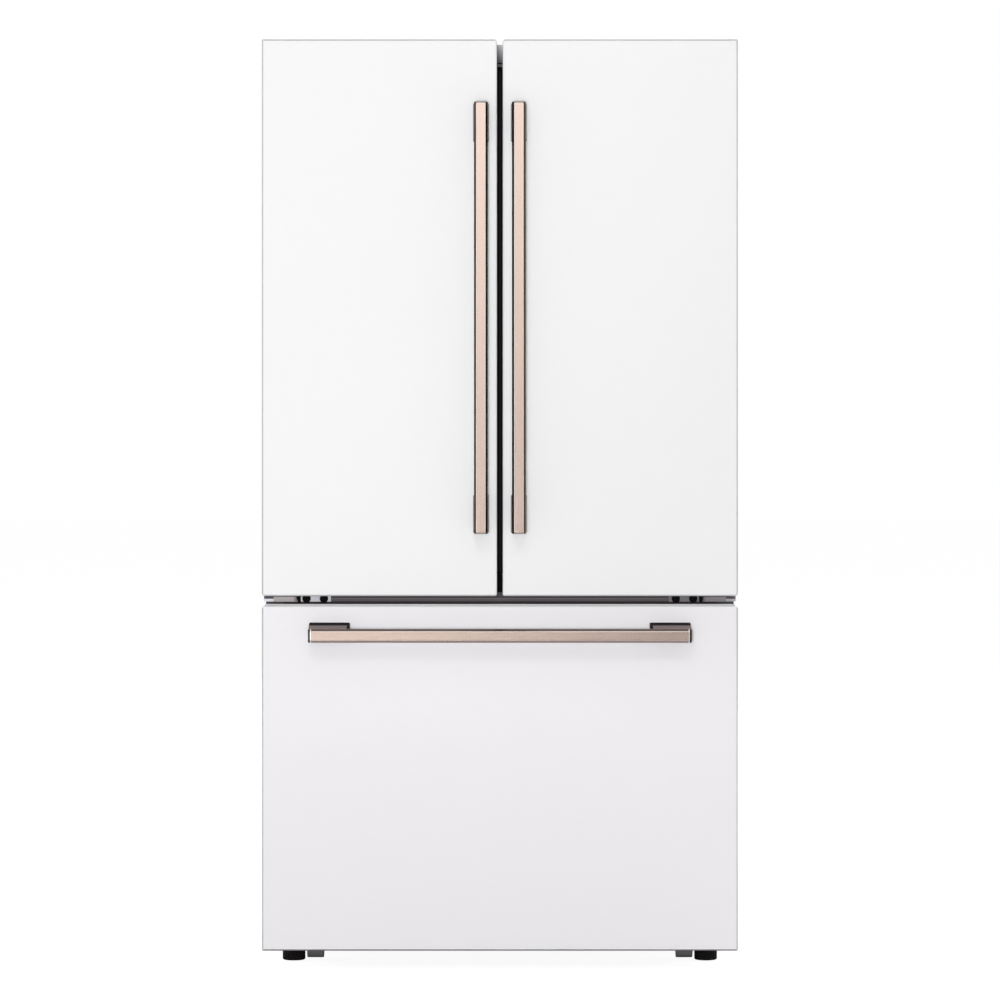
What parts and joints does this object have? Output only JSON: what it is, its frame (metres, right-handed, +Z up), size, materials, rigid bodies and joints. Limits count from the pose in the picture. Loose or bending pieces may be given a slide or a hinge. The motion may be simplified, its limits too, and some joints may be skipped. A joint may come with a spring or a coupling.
{
  "type": "french door refrigerator",
  "caption": "French door refrigerator with flat white doors, copper bar handles and a full-width freezer drawer below.",
  "frame": {"origin": "on the floor, under the middle of the overall box", "axes": "+Z up, -Y out of the doors, +X to the right seen from the front"},
  "size_m": [0.908, 0.797, 1.7793],
  "materials": {
    "white_panel": "satin",
    "case_grey": "satin",
    "liner_white": "gloss",
    "clear_plastic": "gloss",
    "shelf_glass": "gloss",
    "rail_brown": "satin",
    "gasket_grey": "matte",
    "copper_satin": "satin",
    "bronze_dark": "satin",
    "zinc_plate": "satin",
    "black_plastic": "matte",
    "wheel_grey": "matte",
    "foam": "matte",
    "galvanised": "satin",
    "compressor_black": "satin"
  },
  "bodies": {
    "cabinet": {"outer_case": "case_grey", "rear_panel": "galvanised", "cabinet_insulation": "foam", "fresh_food_liner": "liner_white", "freezer_liner": "liner_white", "center_rail": "rail_brown", "base_frame": "galvanised", "compressor": "compressor_black", "compressor_cover": "galvanised", "air_duct_cover": "liner_white", "mullion_guide": "black_plastic", "left_top_hinge": "zinc_plate", "right_top_hinge": "zinc_plate", "left_hinge_cover": "case_grey", "right_hinge_cover": "case_grey", "left_middle_hinge": "zinc_plate", "right_middle_hinge": "zinc_plate", "left_upper_shelf": "shelf_glass", "right_upper_shelf": "shelf_glass", "left_lower_shelf": "shelf_glass", "right_lower_shelf": "shelf_glass", "crisper_cover": "shelf_glass", "left_fixed_rail": "galvanised", "right_fixed_rail": "galvanised"},
    "left_door": {"left_door_panel": "white_panel", "left_door_gasket": "gasket_grey", "left_door_liner": "liner_white", "left_upper_bin": "clear_plastic", "left_lower_bin": "clear_plastic", "left_handle_bar": "copper_satin", "left_handle_upper_mount": "bronze_dark", "left_handle_lower_mount": "bronze_dark"},
    "right_door": {"right_door_panel": "white_panel", "right_door_gasket": "gasket_grey", "right_door_liner": "liner_white", "right_upper_bin": "clear_plastic", "right_lower_bin": "clear_plastic", "right_handle_bar": "copper_satin", "right_handle_upper_mount": "bronze_dark", "right_handle_lower_mount": "bronze_dark"},
    "mullion": {"mullion_bar": "black_plastic"},
    "freezer_drawer": {"drawer_panel": "white_panel", "drawer_gasket": "gasket_grey", "drawer_liner": "liner_white", "drawer_handle_bar": "copper_satin", "drawer_handle_left_mount": "bronze_dark", "drawer_handle_right_mount": "bronze_dark", "drawer_rail_frame": "galvanised", "freezer_basket": "clear_plastic"},
    "left_mid_slide": {"left_mid_rail": "galvanised"},
    "right_mid_slide": {"right_mid_rail": "galvanised"},
    "upper_tray": {"freezer_tray": "clear_plastic"},
    "left_crisper_drawer": {"left_crisper": "clear_plastic"},
    "right_crisper_drawer": {"right_crisper": "clear_plastic"},
    "left_levelling_foot": {"left_foot": "black_plastic"},
    "right_levelling_foot": {"right_foot": "black_plastic"},
    "left_front_wheel": {"left_front_roller": "wheel_grey"},
    "right_front_wheel": {"right_front_roller": "wheel_grey"},
    "left_rear_wheel": {"left_rear_roller": "wheel_grey"},
    "right_rear_wheel": {"right_rear_roller": "wheel_grey"}
  },
  "joints": [
    {"name": "left_door_swing", "type": "hinge", "parent": "cabinet", "child": "left_door", "pos_m": [-0.44, -0.3, 0.7087], "axis": [0, 0, -1], "range_deg": [0, 118]},
    {"name": "right_door_swing", "type": "hinge", "parent": "cabinet", "child": "right_door", "pos_m": [0.44, -0.3, 0.7087], "axis": [0, 0, 1], "range_deg": [0, 118]},
    {"name": "mullion_fold", "type": "hinge", "parent": "left_door", "child": "mullion", "pos_m": [-0.044, -0.2197, 1.2], "axis": [0, 0, 1], "range_deg": [0, 90]},
    {"name": "freezer_drawer_slide", "type": "slide", "parent": "cabinet", "child": "freezer_drawer", "axis": [0, -1, 0], "range_m": [0, 0.43]},
    {"name": "left_mid_rail_slide", "type": "slide", "parent": "cabinet", "child": "left_mid_slide", "axis": [0, -1, 0], "range_m": [0, 0.215]},
    {"name": "right_mid_rail_slide", "type": "slide", "parent": "cabinet", "child": "right_mid_slide", "axis": [0, -1, 0], "range_m": [0, 0.215]},
    {"name": "upper_tray_slide", "type": "slide", "parent": "freezer_drawer", "child": "upper_tray", "axis": [0, 1, 0], "range_m": [0, 0.11]},
    {"name": "left_crisper_slide", "type": "slide", "parent": "cabinet", "child": "left_crisper_drawer", "axis": [0, -1, 0], "range_m": [0, 0.1]},
    {"name": "right_crisper_slide", "type": "slide", "parent": "cabinet", "child": "right_crisper_drawer", "axis": [0, -1, 0], "range_m": [0, 0.1]},
    {"name": "left_foot_turn", "type": "hinge", "parent": "cabinet", "child": "left_levelling_foot", "pos_m": [-0.3985, -0.212, 0.02], "axis": [0, 0, 1], "continuous": true},
    {"name": "right_foot_turn", "type": "hinge", "parent": "cabinet", "child": "right_levelling_foot", "pos_m": [0.3985, -0.212, 0.02], "axis": [0, 0, 1], "continuous": true},
    {"name": "left_front_wheel_roll", "type": "hinge", "parent": "cabinet", "child": "left_front_wheel", "pos_m": [-0.357, -0.2, 0.026], "axis": [1, 0, 0], "continuous": true},
    {"name": "right_front_wheel_roll", "type": "hinge", "parent": "cabinet", "child": "right_front_wheel", "pos_m": [0.357, -0.2, 0.026], "axis": [1, 0, 0], "continuous": true},
    {"name": "left_rear_wheel_roll", "type": "hinge", "parent": "cabinet", "child": "left_rear_wheel", "pos_m": [-0.4, 0.344, 0.022], "axis": [1, 0, 0], "continuous": true},
    {"name": "right_rear_wheel_roll", "type": "hinge", "parent": "cabinet", "child": "right_rear_wheel", "pos_m": [0.4, 0.344, 0.022], "axis": [1, 0, 0], "continuous": true}
  ],
  "couplings": [
    {"joint": "left_mid_rail_slide", "follows": "freezer_drawer_slide", "ratio": 0.5},
    {"joint": "right_mid_rail_slide", "follows": "freezer_drawer_slide", "ratio": 0.5}
  ]
}
